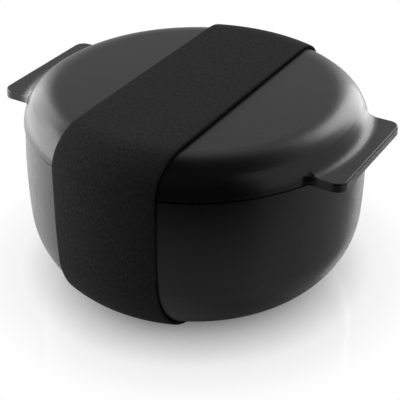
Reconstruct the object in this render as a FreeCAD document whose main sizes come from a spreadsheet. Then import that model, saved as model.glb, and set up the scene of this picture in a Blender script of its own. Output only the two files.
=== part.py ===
# Insulated lunch bowl with a lift-off lid and an elastic band, as a parametric document.
# Millimetres. +Z is up and the origin is the middle of the base, on the surface that the bowl stands on.
# The two ears of the lid point along +X and -X. The band runs round the bowl in the YZ plane.

import FreeCAD, Part
import math
import os

import Sketcher

V = FreeCAD.Vector

# Driving sizes in millimetres: name, value, what it is
SIZES = [
    ("bowl_radius", 77.5, "outer radius of the bowl where it is widest"),
    ("side_arc", 324.0, "radius of the bowl side, seen from the front"),
    ("side_fall", 17.63, "height of the side below the place where the bowl is widest"),
    ("haunch_arc", 36.4, "radius of the upper part of the rounded underside"),
    ("haunch_fall", 23.06, "height of the upper part of the rounded underside"),
    ("keel_arc", 29.2, "radius of the lower part of the rounded underside"),
    ("foot_height", 2.6, "how far the feet lift the flat underside"),
    ("foot_inset", 0.9, "distance from the edge of the flat underside in to the feet"),
    ("foot_width", 6.5, "radial width of the feet"),
    ("foot_round", 0.6, "rounding of the lower edges of the feet"),
    ("rim_height", 77.65, "height of the ring that carries the steel flange"),
    ("bowl_wall", 2.4, "wall of the outer bowl"),
    ("rim_drop", 0.5, "how far the outer bowl stops below the ring inside its rim"),
    ("rim_round", 0.3, "rounding of the outer edge of the bowl rim"),
    ("mouth_inset", 7.5, "distance from the outside of the bowl rim in to the steel wall"),
    ("steel_wall", 0.6, "sheet of the steel bowl"),
    ("floor_lift", 8.4, "height of the steel floor over the flat underside"),
    ("floor_arc", 33.0, "radius between the steel wall and its floor"),
    ("mouth_arc", 1.5, "radius between the steel wall and its flange"),
    ("flange_inset", 1.6, "distance from the outside of the bowl rim in to the steel flange"),
    ("ring_height", 3.0, "height of the ring that carries the flange"),
    ("part_gap", 0.15, "gap between pieces that are glued or welded"),
    ("lid_overhang", 0.6, "how far the lower edge of the lid stands out past the bowl rim"),
    ("lid_gap", 0.05, "gap between the steel flange and the lid"),
    ("lid_rise", 13.7, "height of the lid over its lower edge"),
    ("shoulder_arc", 12.8, "radius of the outer part of the lid shoulder"),
    ("shoulder_drop", 0.7, "distance from the lower lid edge down to the shoulder centre"),
    ("crown_arc", 19.8, "radius of the inner part of the lid shoulder"),
    ("lid_wall", 2.2, "wall of the lid shell"),
    ("ear_length", 8.8, "how far an ear stands out past the lower edge of the lid"),
    ("ear_width", 62.2, "width of an ear along its outer edge"),
    ("ear_corner", 5.0, "radius of the outer corners of an ear"),
    ("ear_thickness", 3.85, "thickness of an ear"),
    ("ear_drop", 0.7, "how far an ear hangs below the lower lid edge"),
    ("ear_root", 7.6, "radius between an ear and the lid side"),
    ("ear_round", 0.7, "rounding round the top of an ear"),
    ("rim_relief", 0.2, "how far the room over the bowl rim runs into the ears past the lid side"),
    ("liner_gap", 0.7, "gap between the edge of the lid liner and the lid shell"),
    ("liner_wall", 1.8, "wall of the lid liner"),
    ("plug_gap", 1.8, "gap between the plug under the lid and the steel wall"),
    ("plug_wall", 3.0, "wall of the plug"),
    ("plug_depth", 8.0, "depth of the plug under the lid edge"),
    ("plug_round", 1.0, "rounding of the lower edge of the plug"),
    ("groove_height", 4.0, "height of the seal groove"),
    ("groove_depth", 1.6, "depth of the seal groove"),
    ("groove_drop", 2.0, "distance from the lid edge down to the seal groove"),
    ("seal_gap", 0.1, "gap round the seal"),
    ("seal_lip", 0.9, "thickness of each seal lip"),
    ("seal_core", 0.3, "how far the seal between its lips stands out of the groove"),
    ("band_width", 50.0, "width of the elastic band"),
    ("band_thickness", 1.5, "thickness of the elastic band"),
    ("band_gap", 0.3, "gap between the band and what it holds"),
    ("passage_gap", 3.0, "room on each side of the band in its passage between the feet"),
    ("lap_start", 0.2, "height of the lower end of the sewn lap over the lower end of the haunch"),
    ("lap_height", 14.9, "height of the sewn lap, on the back of the band"),
    ("stitch_inset", 2.2, "height between each end of the lap and its row of stitches"),
    ("stitch_length", 2.2, "length of a stitch across the band"),
    ("stitch_width", 0.6, "width of a stitch"),
    ("stitch_height", 0.25, "how far a stitch stands out of the band"),
    ("stitch_margin", 3.0, "distance from the edge of the band to the first stitch"),
    ("past_face", 1.0, "how far a cut or a joined piece runs past a face"),
    ("sunk", 0.3, "how far a layer starts below the face that it is sewn or welded to"),
]
STITCHES_PER_ROW = 14
SAME_PLACE = 0.001  # points closer than this count as one
SHEET = "Sizes"


class Term:
    """A size as a number, and as the expression that binds it to the sheet."""

    def __init__(self, value, text):
        self.value = float(value)
        self.text = text

    @staticmethod
    def of(other):
        return other if isinstance(other, Term) else Term(other, repr(float(other)))

    def __add__(self, other):
        other = Term.of(other)
        return Term(self.value + other.value, f"({self.text} + {other.text})")

    def __sub__(self, other):
        other = Term.of(other)
        return Term(self.value - other.value, f"({self.text} - {other.text})")

    def __rsub__(self, other):
        return Term.of(other) - self

    def __mul__(self, other):
        other = Term.of(other)
        return Term(self.value * other.value, f"({self.text} * {other.text})")

    def __truediv__(self, other):
        other = Term.of(other)
        return Term(self.value / other.value, f"({self.text} / {other.text})")

    def __neg__(self):
        return Term(-self.value, f"(-{self.text})")

    def root(self):
        return Term(math.sqrt(self.value), f"sqrt({self.text})")

    __radd__ = __add__
    __rmul__ = __mul__


class Sizes:
    """The sizes of the sheet by name, and those that follow from them, each as a Term."""

    def __init__(self, doc):
        sheet = doc.addObject("Spreadsheet::Sheet", SHEET)
        for row, (name, value, meaning) in enumerate(SIZES, start=1):
            sheet.set(f"A{row}", name)
            sheet.set(f"B{row}", str(value))
            sheet.set(f"C{row}", meaning)
            sheet.setAlias(f"B{row}", name)
            setattr(self, name, Term(value, f"{SHEET}.{name}"))
        self.follow_bowl()
        self.follow_rim()
        self.follow_band()

    def follow_bowl(self):
        """The underside is a flat, a keel arc, a haunch arc and the side arc, each run into the next."""
        side_sine = self.side_fall / self.side_arc
        side_cosine = (1 - side_sine * side_sine).root()
        self.keel_sine = side_sine + self.haunch_fall / self.haunch_arc
        keel_cosine = (1 - self.keel_sine * self.keel_sine).root()
        keel_fall = self.keel_arc * (1 - self.keel_sine)
        side_inset = self.side_arc * (1 - side_cosine)
        haunch_inset = self.haunch_arc * (side_cosine - keel_cosine)
        keel_inset = self.keel_arc * keel_cosine
        self.widest_height = self.foot_height + keel_fall + self.haunch_fall + self.side_fall
        self.base_radius = self.bowl_radius - side_inset - haunch_inset - keel_inset
        self.haunch_across = self.bowl_radius - side_inset - self.haunch_arc * side_cosine
        self.haunch_up = self.widest_height - self.side_fall + self.haunch_arc * side_sine
        self.foot_radius = self.base_radius - self.foot_inset
        self.floor_height = self.foot_height + self.floor_lift

    def follow_rim(self):
        """The steel bowl and the lid take their radii from the outside of the bowl rim."""
        rise = self.rim_height - self.widest_height
        rim_radius = self.bowl_radius - self.side_arc + (self.side_arc * self.side_arc - rise * rise).root()
        self.shell_top = self.rim_height - self.rim_drop
        self.mouth_radius = rim_radius - self.mouth_inset
        self.flange_radius = rim_radius - self.flange_inset
        self.ring_bore = self.mouth_radius + self.steel_wall + self.mouth_arc + self.part_gap
        self.lid_radius = rim_radius + self.lid_overhang
        self.lid_edge = self.rim_height + self.steel_wall + self.lid_gap
        self.lid_top = self.lid_edge + self.lid_rise
        self.ear_reach = self.lid_radius + self.ear_length
        self.liner_radius = self.lid_radius - self.lid_wall - self.liner_gap
        self.plug_radius = self.mouth_radius - self.plug_gap

    def follow_band(self):
        """The lap lies on the haunch, and the passage under the bowl is as wide as the band needs."""
        lap_arc = self.haunch_arc + self.band_gap + 2 * self.band_thickness
        self.lap_low = self.haunch_up - lap_arc * self.keel_sine + self.lap_start
        self.lap_high = self.lap_low + self.lap_height
        self.passage_width = self.band_width + 2 * self.passage_gap


class Outline:
    """A closed sketch on one of a body's own planes, drawn in the sizes and bound to them.

    Across is the distance from the upright axis and up is the height.
    """

    def __init__(self, body, name, role="XZ_Plane", height=None):
        self.sketch = body.newObject("Sketcher::SketchObject", name)
        plane = [f for f in body.Origin.OriginFeatures if f.Role == role][0]
        self.sketch.AttachmentSupport = [(plane, "")]
        self.sketch.MapMode = "FlatFace"
        if height is not None:
            self.sketch.AttachmentOffset = FreeCAD.Placement(V(0, 0, height.value), FreeCAD.Rotation())
            self.sketch.setExpression("AttachmentOffset.Base.z", height.text)

    def turn_about_upright(self, angle):
        """Turns the sketch's plane about the upright axis by an expression that gives degrees."""
        self.sketch.AttachmentOffset = FreeCAD.Placement(V(0, 0, 0), FreeCAD.Rotation(V(0, 1, 0), 1))
        self.sketch.setExpression("AttachmentOffset.Rotation.Angle", angle)

    def line(self, start, end):
        return self.sketch.addGeometry(Part.LineSegment(start, end), False)

    def arc(self, centre, start, end):
        """An arc that runs counter-clockwise from start to end."""
        circle = Part.Circle(centre, V(0, 0, 1), (start - centre).Length)
        begin = math.atan2(start.y - centre.y, start.x - centre.x)
        finish = math.atan2(end.y - centre.y, end.x - centre.x)
        if finish <= begin:
            finish += 2 * math.pi
        return self.sketch.addGeometry(Part.ArcOfCircle(circle, begin, finish), False)

    def rule(self, *words):
        return self.sketch.addConstraint(Sketcher.Constraint(*words))

    def bind(self, index, term):
        self.sketch.setExpression(f"Constraints[{index}]", term.text)

    def set_radius(self, arc, term):
        self.bind(self.rule("Radius", arc, term.value), term)

    def set_across(self, geometry, end, across):
        """Puts a point at a distance along the sketch's first axis; a plain 0 means on the upright axis."""
        if not isinstance(across, Term):
            self.rule("PointOnObject", geometry, end, -2)
        elif across.value >= 0:
            self.bind(self.rule("DistanceX", -1, 1, geometry, end, across.value), across)
        else:
            self.bind(self.rule("DistanceX", geometry, end, -1, 1, -across.value), -across)

    def set_up(self, geometry, end, up):
        """Puts a point at a distance along the sketch's second axis; a plain 0 means on the first axis."""
        if not isinstance(up, Term):
            self.rule("PointOnObject", geometry, end, -1)
        elif up.value >= 0:
            self.bind(self.rule("DistanceY", -1, 1, geometry, end, up.value), up)
        else:
            self.bind(self.rule("DistanceY", geometry, end, -1, 1, -up.value), -up)

    def join(self, first, second):
        self.rule("Coincident", first, 2, second, 1)

    def smooth(self, first, second):
        self.rule("Tangent", first, 2, second, 1)

    def stepped(self, corners):
        """A closed run of level and upright sides, counter-clockwise through (across, up, radius) corners."""
        flat = [V(Term.of(c[0]).value, Term.of(c[1]).value, 0) for c in corners]
        radii = [c[2] if len(c) > 2 else None for c in corners]
        count = len(corners)
        steps = [(flat[(i + 1) % count] - flat[i]).normalize() for i in range(count)]
        starts = [flat[i] + steps[i] * (radii[i].value if radii[i] else 0) for i in range(count)]
        ends = [flat[i] - steps[i - 1] * (radii[i].value if radii[i] else 0) for i in range(count)]
        sides = [self.line(starts[i], ends[(i + 1) % count]) for i in range(count)]
        for i, side in enumerate(sides):
            if abs(steps[i].x) < 0.5:
                self.rule("Vertical", side)
                self.set_across(side, 1, corners[i][0])
            else:
                self.rule("Horizontal", side)
                self.set_up(side, 1, corners[i][1])
        for i in range(count):
            if radii[i] is None:
                self.join(sides[i - 1], sides[i])
            else:
                self.round_corner(sides[i - 1], sides[i], ends[i], starts[i], steps[i], radii[i])

    def round_corner(self, before, after, start, end, step, radius):
        """An arc between two sides that meet at a right angle."""
        turn = (end - start).cross(step).z
        centre = start + step * radius.value
        if turn > 0:
            arc = self.arc(centre, start, end)
            self.rule("Tangent", before, 2, arc, 1)
            self.rule("Tangent", arc, 2, after, 1)
        else:
            arc = self.arc(centre, end, start)
            self.rule("Tangent", before, 2, arc, 2)
            self.rule("Tangent", arc, 1, after, 1)
        self.set_radius(arc, radius)


def bowl_side(outline, sizes, grow, top):
    """The underside and the side of the bowl, grown outwards by a Term, from the axis up to a height.

    Returns the pieces of the run in order, and its last point.
    """
    low = sizes.foot_height - grow
    keel_centre = V(sizes.base_radius.value, (sizes.foot_height + sizes.keel_arc).value, 0)
    side_centre = V((sizes.bowl_radius - sizes.side_arc).value, sizes.widest_height.value, 0)
    haunch_centre = V(sizes.haunch_across.value, sizes.haunch_up.value, 0)
    haunch_radius = (sizes.haunch_arc + grow).value
    side_radius = (sizes.side_arc + grow).value
    base_end = V(keel_centre.x, low.value, 0)
    keel_end = haunch_centre + (keel_centre - haunch_centre).normalize() * haunch_radius
    haunch_end = side_centre + (haunch_centre - side_centre).normalize() * side_radius
    rise = top.value - side_centre.y
    side_end = V(side_centre.x + math.sqrt(side_radius**2 - rise**2), top.value, 0)

    base = outline.line(V(0, low.value, 0), base_end)
    keel = outline.arc(keel_centre, base_end, keel_end)
    haunch = outline.arc(haunch_centre, keel_end, haunch_end)
    side = outline.arc(side_centre, haunch_end, side_end)
    outline.rule("Horizontal", base)
    outline.set_across(base, 1, 0)
    outline.set_up(base, 1, low)
    outline.set_across(base, 2, sizes.base_radius)
    outline.smooth(base, keel)
    outline.smooth(keel, haunch)
    outline.smooth(haunch, side)
    outline.set_radius(keel, sizes.keel_arc + grow)
    outline.set_radius(haunch, sizes.haunch_arc + grow)
    outline.set_radius(side, sizes.side_arc + grow)
    outline.set_across(side, 3, sizes.bowl_radius - sizes.side_arc)
    outline.set_up(side, 3, sizes.widest_height)
    outline.set_up(side, 2, top)
    return [base, keel, haunch, side], side_end


def lid_side(outline, sizes, grow, start_up=None):
    """The shoulder and the top of the lid, grown outwards by a Term, up to the axis.

    Without start_up the run starts level with the shoulder centre. Returns its first piece, its last
    piece and its first point.
    """
    centre_up = sizes.lid_edge - sizes.shoulder_drop
    shoulder_centre = V((sizes.lid_radius - sizes.shoulder_arc).value, centre_up.value, 0)
    shoulder_radius = (sizes.shoulder_arc + grow).value
    crown_up = (sizes.lid_top - sizes.crown_arc).value
    fall = shoulder_centre.y - crown_up
    reach = math.sqrt((sizes.crown_arc - sizes.shoulder_arc).value ** 2 - fall**2)
    crown_centre = V(shoulder_centre.x - reach, crown_up, 0)
    top = sizes.lid_top + grow
    lift = 0.0 if start_up is None else start_up.value - shoulder_centre.y
    start = shoulder_centre + V(math.sqrt(shoulder_radius**2 - lift**2), lift, 0)
    shoulder_end = shoulder_centre + (shoulder_centre - crown_centre).normalize() * shoulder_radius
    crown_end = V(crown_centre.x, top.value, 0)

    shoulder = outline.arc(shoulder_centre, start, shoulder_end)
    crown = outline.arc(crown_centre, shoulder_end, crown_end)
    cover = outline.line(crown_end, V(0, top.value, 0))
    outline.set_radius(shoulder, sizes.shoulder_arc + grow)
    outline.set_radius(crown, sizes.crown_arc + grow)
    outline.set_across(shoulder, 3, sizes.lid_radius - sizes.shoulder_arc)
    outline.set_up(shoulder, 3, centre_up)
    outline.set_up(shoulder, 1, centre_up if start_up is None else start_up)
    outline.smooth(shoulder, crown)
    outline.smooth(crown, cover)
    outline.rule("Horizontal", cover)
    outline.set_up(cover, 2, top)
    outline.set_across(cover, 2, 0)
    return shoulder, cover, start


def bowl_outline(body, name, sizes, grow, top):
    """Half of the bowl's section, grown by a Term and cut level at a height."""
    outline = Outline(body, name)
    (base, _, _, side), side_end = bowl_side(outline, sizes, grow, top)
    cover = outline.line(side_end, V(0, top.value, 0))
    axis = outline.line(V(0, top.value, 0), V(0, (sizes.foot_height - grow).value, 0))
    outline.rule("Horizontal", cover)
    outline.join(side, cover)
    outline.join(cover, axis)
    outline.join(axis, base)
    outline.rule("Vertical", axis)
    return outline


def lid_outline(body, name, sizes, grow, bottom):
    """Half of the lid's section, grown by a Term and cut level at a height.

    It is drawn towards +Y, so that the seam of the turned face stays clear of the ears.
    """
    outline = Outline(body, name, "YZ_Plane")
    shoulder, cover, start = lid_side(outline, sizes, grow, bottom)
    axis = outline.line(V(0, (sizes.lid_top + grow).value, 0), V(0, bottom.value, 0))
    floor = outline.line(V(0, bottom.value, 0), start)
    outline.join(cover, axis)
    outline.join(axis, floor)
    outline.join(floor, shoulder)
    outline.rule("Vertical", axis)
    outline.rule("Horizontal", floor)
    return outline


def band_outline(body, name, sizes, grow):
    """Half of the loop that the band lies on: the bowl, the lid, and a straight side between them."""
    outline = Outline(body, name)
    (base, _, _, side), side_end = bowl_side(outline, sizes, grow, sizes.widest_height)
    shoulder, cover, start = lid_side(outline, sizes, grow)
    strip = outline.line(side_end, start)
    axis = outline.line(V(0, (sizes.lid_top + grow).value, 0), V(0, (sizes.foot_height - grow).value, 0))
    outline.join(side, strip)
    outline.join(strip, shoulder)
    outline.join(cover, axis)
    outline.join(axis, base)
    return outline


def layer_outline(body, name, sizes, inner, outer, low, high):
    """The section of a layer round the back of the haunch, between two heights on its outer face.

    Inner and outer are how far its faces stand off the bowl.
    """
    outline = Outline(body, name, "YZ_Plane")
    run, _ = bowl_side(outline, sizes, outer, sizes.widest_height)
    for piece in run:
        outline.sketch.toggleConstruction(piece)
    haunch = run[2]
    guide = outline.sketch.Geometry[haunch]
    centre = V(guide.Center.x, guide.Center.y, 0)
    inner_radius = sizes.haunch_arc + inner
    outer_radius = sizes.haunch_arc + outer

    def at(up):
        fall = up.value - centre.y
        unit = V(math.sqrt(outer_radius.value**2 - fall**2), fall, 0).normalize()
        return centre + unit * inner_radius.value, centre + unit * outer_radius.value

    low_in, low_out = at(low)
    high_in, high_out = at(high)
    face = outline.arc(centre, low_out, high_out)
    top = outline.line(high_out, high_in)
    back = outline.arc(centre, low_in, high_in)
    bottom = outline.line(low_in, low_out)
    outline.rule("Coincident", face, 2, top, 1)
    outline.rule("Coincident", top, 2, back, 2)
    outline.rule("Coincident", back, 1, bottom, 1)
    outline.rule("Coincident", bottom, 2, face, 1)
    outline.rule("Coincident", face, 3, haunch, 3)
    outline.rule("Coincident", back, 3, haunch, 3)
    outline.rule("PointOnObject", haunch, 3, top)
    outline.rule("PointOnObject", haunch, 3, bottom)
    outline.set_radius(face, outer_radius)
    outline.set_radius(back, inner_radius)
    outline.set_up(face, 1, low)
    outline.set_up(face, 2, high)
    return outline


def new_body(doc, label):
    body = doc.addObject("PartDesign::Body", label)
    body.Label = label
    body.Placement = FreeCAD.Placement()
    return body


def turned(body, kind, outline, name, angle=360):
    """A revolution or a groove of an outline about the upright axis, as far on each side of its plane.

    The angle is in degrees, or an expression that gives degrees.
    """
    feature = body.newObject(f"PartDesign::{kind}", name)
    feature.Profile = outline.sketch
    feature.ReferenceAxis = (outline.sketch, ["V_Axis"])
    if isinstance(angle, str):
        feature.setExpression("Angle", angle)
    else:
        feature.Angle = angle
    feature.Midplane = angle != 360
    body.Document.recompute()
    return feature


def straight(body, kind, outline, name, length, upwards=True):
    """A pad or a pocket of an outline that lies level, by a length upwards or downwards."""
    feature = body.newObject(f"PartDesign::{kind}", name)
    feature.Profile = outline.sketch
    feature.Length = length.value
    feature.setExpression("Length", length.text)
    feature.Reversed = upwards if kind == "Pocket" else not upwards
    body.Document.recompute()
    return feature


def filleted(body, name, radius, wanted):
    """Rounds the edges of the body for which wanted(edge) is true."""
    base = body.Tip
    edges = [f"Edge{i}" for i, edge in enumerate(base.Shape.Edges, start=1) if wanted(edge)]
    if not edges:
        raise RuntimeError(f"{name}: no edge to round")
    feature = body.newObject("PartDesign::Fillet", name)
    feature.Base = (base, edges)
    feature.Radius = radius.value
    feature.setExpression("Radius", radius.text)
    body.Document.recompute()
    return feature


def middle(edge):
    """The point half way along an edge."""
    return edge.valueAt((edge.FirstParameter + edge.LastParameter) / 2)


def at_height(edge, up):
    """True for an edge that lies level at a height."""
    points = [vertex.Point for vertex in edge.Vertexes] + [middle(edge)]
    return all(abs(point.z - up.value) < SAME_PLACE for point in points)


def spread(p):
    """Distance of a point from the upright axis."""
    return math.hypot(p.x, p.y)


def make_outer_bowl(doc, sizes):
    """The moulded shell, with two curved feet that leave a passage for the band between them."""
    body = new_body(doc, "outer_bowl")
    section = bowl_outline(body, "shell_section", sizes, Term.of(0), sizes.shell_top)
    turned(body, "Revolution", section, "shell")

    feet = Outline(body, "foot_section")
    inner = sizes.foot_radius - sizes.foot_width
    inside = sizes.foot_height + sizes.past_face
    feet.stepped([(inner, 0), (sizes.foot_radius, 0), (sizes.foot_radius, inside), (inner, inside)])
    turned(body, "Revolution", feet, "foot_ring")

    passage = Outline(body, "passage_plan", "XY_Plane")
    half = sizes.passage_width / 2
    reach = sizes.foot_radius + sizes.past_face
    passage.stepped([(-half, -reach), (half, -reach), (half, reach), (-half, reach)])
    straight(body, "Pocket", passage, "passage", sizes.foot_height)

    filleted(body, "foot_edges", sizes.foot_round, lambda e: at_height(e, Term.of(0)))
    filleted(body, "rim_edge", sizes.rim_round, lambda e: at_height(e, sizes.shell_top))

    past_rim = sizes.rim_height + sizes.past_face
    hollow = bowl_outline(body, "hollow_section", sizes, -sizes.bowl_wall, past_rim)
    turned(body, "Groove", hollow, "hollow")
    return body


def make_rim_ring(doc, sizes):
    """The ring inside the top of the shell, which closes the insulation in and carries the steel flange."""
    body = new_body(doc, "rim_ring")
    outline = Outline(body, "ring_section")
    low = sizes.rim_height - sizes.ring_height
    radius = sizes.side_arc - sizes.bowl_wall - sizes.part_gap
    centre = V((sizes.bowl_radius - sizes.side_arc).value, sizes.widest_height.value, 0)

    def on_side(up):
        return V(centre.x + math.sqrt(radius.value**2 - (up.value - centre.y) ** 2), up.value, 0)

    bore_low = V(sizes.ring_bore.value, low.value, 0)
    bore_high = V(sizes.ring_bore.value, sizes.rim_height.value, 0)
    bottom = outline.line(bore_low, on_side(low))
    side = outline.arc(centre, on_side(low), on_side(sizes.rim_height))
    top = outline.line(on_side(sizes.rim_height), bore_high)
    bore = outline.line(bore_high, bore_low)
    for first, second in ((bottom, side), (side, top), (top, bore), (bore, bottom)):
        outline.join(first, second)
    outline.rule("Horizontal", bottom)
    outline.rule("Horizontal", top)
    outline.rule("Vertical", bore)
    outline.set_across(bottom, 1, sizes.ring_bore)
    outline.set_up(bottom, 1, low)
    outline.set_up(top, 1, sizes.rim_height)
    outline.set_radius(side, radius)
    outline.set_across(side, 3, sizes.bowl_radius - sizes.side_arc)
    outline.set_up(side, 3, sizes.widest_height)
    turned(body, "Revolution", outline, "ring")
    return body


def make_inner_bowl(doc, sizes):
    """The drawn steel bowl that holds the food, with a level flange round its mouth."""
    body = new_body(doc, "inner_bowl")
    outline = Outline(body, "sheet_section")
    outside = sizes.mouth_radius + sizes.steel_wall
    under = sizes.floor_height - sizes.steel_wall
    flange_top = sizes.rim_height + sizes.steel_wall
    outline.stepped([
        (0, under),
        (outside, under, sizes.floor_arc + sizes.steel_wall),
        (outside, sizes.rim_height, sizes.mouth_arc),
        (sizes.flange_radius, sizes.rim_height),
        (sizes.flange_radius, flange_top),
        (sizes.mouth_radius, flange_top, sizes.mouth_arc + sizes.steel_wall),
        (sizes.mouth_radius, sizes.floor_height, sizes.floor_arc),
        (0, sizes.floor_height),
    ])
    turned(body, "Revolution", outline, "sheet")
    return body


def make_bowl_insulation(doc, sizes):
    """The foam between the outer shell and the steel bowl."""
    body = new_body(doc, "bowl_insulation")
    top = sizes.rim_height - sizes.ring_height - sizes.part_gap
    outer = bowl_outline(body, "foam_section", sizes, -(sizes.bowl_wall + sizes.part_gap), top)
    turned(body, "Revolution", outer, "foam")

    bed = Outline(body, "bed_section")
    around = sizes.mouth_radius + sizes.steel_wall + sizes.part_gap
    under = sizes.floor_height - sizes.steel_wall - sizes.part_gap
    bed.stepped([
        (0, under),
        (around, under, sizes.floor_arc + sizes.steel_wall + sizes.part_gap),
        (around, top + sizes.past_face),
        (0, top + sizes.past_face),
    ])
    turned(body, "Groove", bed, "bed")
    return body


def make_lid_shell(doc, sizes):
    """The lid's outer shell with its two flat ears, which are the ends of one rounded plate."""
    body = new_body(doc, "lid_shell")
    ear_low = sizes.lid_edge - sizes.ear_drop
    ear_top = ear_low + sizes.ear_thickness
    half = sizes.ear_width / 2
    plate = Outline(body, "ear_plan", "XY_Plane", ear_low)
    plate.stepped([
        (-sizes.ear_reach, -half, sizes.ear_corner),
        (sizes.ear_reach, -half, sizes.ear_corner),
        (sizes.ear_reach, half, sizes.ear_corner),
        (-sizes.ear_reach, half, sizes.ear_corner),
    ])
    straight(body, "Pad", plate, "ears", sizes.ear_thickness)
    filleted(body, "ear_tops", sizes.ear_round, lambda e: at_height(e, ear_top))
    turned(body, "Revolution", lid_outline(body, "lid_section", sizes, Term.of(0), sizes.lid_edge), "dome")

    def on_root(edge):
        """True for an edge where an ear meets the side of the lid."""
        p = middle(edge)
        on_side = sizes.lid_radius.value - sizes.lid_wall.value < spread(p) < sizes.lid_radius.value
        under_top = sizes.lid_edge.value < p.z < ear_top.value + SAME_PLACE
        in_ear = under_top and abs(p.y) < half.value + SAME_PLACE
        return on_side and in_ear and not at_height(edge, sizes.lid_edge)

    filleted(body, "ear_roots", sizes.ear_root, on_root)

    relief = Outline(body, "relief_section")
    reach = sizes.lid_radius + sizes.rim_relief
    relief_low = ear_low - sizes.past_face
    relief.stepped([(0, relief_low), (reach, relief_low), (reach, sizes.lid_edge), (0, sizes.lid_edge)])
    turned(body, "Groove", relief, "rim_room")

    hollow = lid_outline(body, "hollow_section", sizes, -sizes.lid_wall, sizes.lid_edge - sizes.past_face)
    turned(body, "Groove", hollow, "hollow")
    return body


def make_lid_liner(doc, sizes):
    """The cup-shaped underside of the lid, with the plug that enters the steel bowl and its seal groove."""
    body = new_body(doc, "lid_liner")
    outline = Outline(body, "liner_section")
    edge = sizes.lid_edge
    low = edge - sizes.plug_depth
    groove_top = edge - sizes.groove_drop
    groove_low = groove_top - sizes.groove_height
    groove_radius = sizes.plug_radius - sizes.groove_depth
    inside = sizes.plug_radius - sizes.plug_wall
    outline.stepped([
        (0, low),
        (sizes.plug_radius, low, sizes.plug_round),
        (sizes.plug_radius, groove_low),
        (groove_radius, groove_low),
        (groove_radius, groove_top),
        (sizes.plug_radius, groove_top),
        (sizes.plug_radius, edge),
        (sizes.liner_radius, edge),
        (sizes.liner_radius, edge + sizes.liner_wall),
        (inside, edge + sizes.liner_wall),
        (inside, low + sizes.liner_wall),
        (0, low + sizes.liner_wall),
    ])
    turned(body, "Revolution", outline, "liner")
    return body


def make_lid_insulation(doc, sizes):
    """The foam between the lid shell and its liner."""
    body = new_body(doc, "lid_insulation")
    bottom = sizes.lid_edge + sizes.liner_wall + sizes.part_gap
    outer = lid_outline(body, "foam_section", sizes, -(sizes.lid_wall + sizes.part_gap), bottom)
    turned(body, "Revolution", outer, "foam")

    core = Outline(body, "core_section")
    radius = sizes.plug_radius - sizes.plug_wall - sizes.part_gap
    low = sizes.lid_edge - sizes.plug_depth + sizes.liner_wall + sizes.part_gap
    high = bottom + sizes.past_face
    core.stepped([(0, low), (radius, low), (radius, high), (0, high)])
    turned(body, "Revolution", core, "core")
    return body


def make_lid_seal(doc, sizes):
    """The silicone ring with two lips in the groove of the plug."""
    body = new_body(doc, "lid_seal")
    outline = Outline(body, "seal_section")
    high = sizes.lid_edge - sizes.groove_drop - sizes.seal_gap
    low = high - sizes.groove_height + 2 * sizes.seal_gap
    back = sizes.plug_radius - sizes.groove_depth + sizes.seal_gap
    core = sizes.plug_radius + sizes.seal_core
    tip = sizes.mouth_radius - sizes.seal_gap
    outline.stepped([
        (back, low),
        (tip, low),
        (tip, low + sizes.seal_lip),
        (core, low + sizes.seal_lip),
        (core, high - sizes.seal_lip),
        (tip, high - sizes.seal_lip),
        (tip, high),
        (back, high),
    ])
    turned(body, "Revolution", outline, "seal")
    return body


def make_elastic_band(doc, sizes):
    """The woven elastic loop, with the lap on its lower back where its two ends are sewn together."""
    body = new_body(doc, "elastic_band")
    outer = sizes.band_gap + sizes.band_thickness
    turned(body, "Revolution", band_outline(body, "outer_section", sizes, outer), "loop")
    turned(body, "Groove", band_outline(body, "inner_section", sizes, sizes.band_gap), "inside")

    lap = layer_outline(
        body, "lap_section", sizes,
        outer - sizes.sunk, outer + sizes.band_thickness, sizes.lap_low, sizes.lap_high,
    )
    turned(body, "Revolution", lap, "lap", angle=180)

    half = sizes.band_width / 2
    reach = sizes.bowl_radius + outer + sizes.band_thickness + sizes.past_face
    trim = Outline(body, "trim_plan", "XY_Plane")
    trim.stepped([(half, -reach), (reach, -reach), (reach, reach), (half, reach)])
    trim.stepped([(-reach, -reach), (-half, -reach), (-half, reach), (-reach, reach)])
    straight(body, "Pocket", trim, "edges", sizes.lid_top + 2 * sizes.band_thickness)
    return body


def make_band_stitching(doc, sizes):
    """Two rows of stitches across the lap, each stitch a short arc on its outer face."""
    body = new_body(doc, "band_stitching")
    body.AllowCompound = True
    face = sizes.band_gap + 2 * sizes.band_thickness
    half = sizes.stitch_width / 2
    reach = sizes.band_width / 2 - sizes.stitch_margin
    half_span = f"asin({reach.text} / {sizes.bowl_radius.text})"
    stitch_turn = f"asin({sizes.stitch_length.text} / {sizes.bowl_radius.text})"
    for name, height in (
        ("lower", sizes.lap_low + sizes.stitch_inset),
        ("upper", sizes.lap_high - sizes.stitch_inset),
    ):
        section = layer_outline(
            body, f"{name}_section", sizes, face, face + sizes.stitch_height, height - half, height + half
        )
        section.turn_about_upright(half_span)
        stitch = turned(body, "Revolution", section, f"{name}_stitch", angle=stitch_turn)
        row = body.newObject("PartDesign::PolarPattern", f"{name}_row")
        row.Originals = [stitch]
        row.Axis = (section.sketch, ["V_Axis"])
        row.Reversed = True
        row.Occurrences = STITCHES_PER_ROW
        row.setExpression("Angle", f"2 * {half_span}")
        body.Tip = row
        doc.recompute()
    return body


MAKERS = [
    make_outer_bowl, make_rim_ring, make_inner_bowl, make_bowl_insulation,
    make_lid_shell, make_lid_liner, make_lid_insulation, make_lid_seal,
    make_elastic_band, make_band_stitching,
]


def check(doc, bodies):
    """Stops at the first object that failed or body that isn't a valid solid."""
    for item in doc.Objects:
        if "Invalid" in item.State or "Error" in item.State:
            raise RuntimeError(f"{item.Name} failed: {item.State}")
    for body in bodies:
        if body.Shape.isNull() or not body.Shape.isValid() or not body.Shape.Solids:
            raise RuntimeError(f"{body.Label} has no valid solid")


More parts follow.
